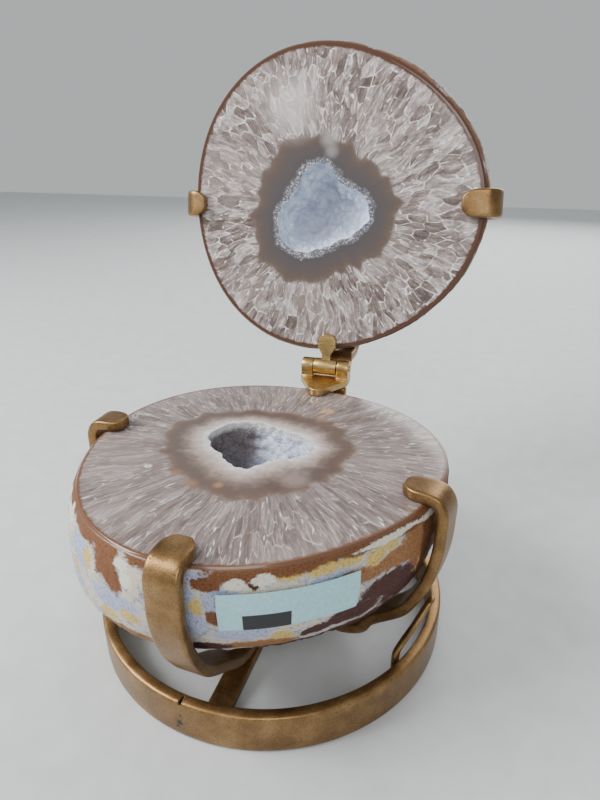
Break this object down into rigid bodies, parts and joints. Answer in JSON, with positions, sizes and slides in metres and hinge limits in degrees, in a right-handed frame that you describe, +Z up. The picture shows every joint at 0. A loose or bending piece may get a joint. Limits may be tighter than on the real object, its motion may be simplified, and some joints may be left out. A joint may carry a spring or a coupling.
{
  "type": "hinged agate geode on a metal stand",
  "caption": "Round agate geode sawn in two: the lower half sits in a clawed ring stand, the upper half is a lid on a hinge, both with a crystal hollow.",
  "frame": {"origin": "centre of the base ring, on the surface it stands on", "axes": "+Z up, +Y towards the hinge, +X to the right of a person who looks into the open geode"},
  "size_m": [0.1577, 0.205, 0.2233],
  "materials": {
    "gold_painted_steel": "satin antique gold",
    "brass_hinge": "brushed",
    "lower_agate": "polished cut face, rough skin",
    "upper_agate": "polished cut face, rough skin",
    "label_paper": "matt"
  },
  "bodies": {
    "stand": {"base_ring": "gold_painted_steel", "base_crossbar": "gold_painted_steel", "front_claw_arm": "gold_painted_steel", "right_claw_arm": "gold_painted_steel", "left_claw_arm": "gold_painted_steel", "rear_hinge_arm": "gold_painted_steel", "right_strut": "gold_painted_steel", "left_strut": "gold_painted_steel", "lower_geode_half": "lower_agate", "shop_label": "label_paper", "hinge_lower_leaf": "brass_hinge", "hinge_pin": "brass_hinge"},
    "lid": {"upper_geode_half": "upper_agate", "hinge_upper_leaf": "brass_hinge", "lid_spine_arm": "gold_painted_steel", "lid_left_claw_arm": "gold_painted_steel", "lid_right_claw_arm": "gold_painted_steel"}
  },
  "joints": [
    {"name": "lid_hinge", "type": "hinge", "parent": "stand", "child": "lid", "pos_m": [0.0019, 0.0734, 0.0829], "axis": [1, 0, 0], "range_deg": [0, 100.6]}
  ]
}
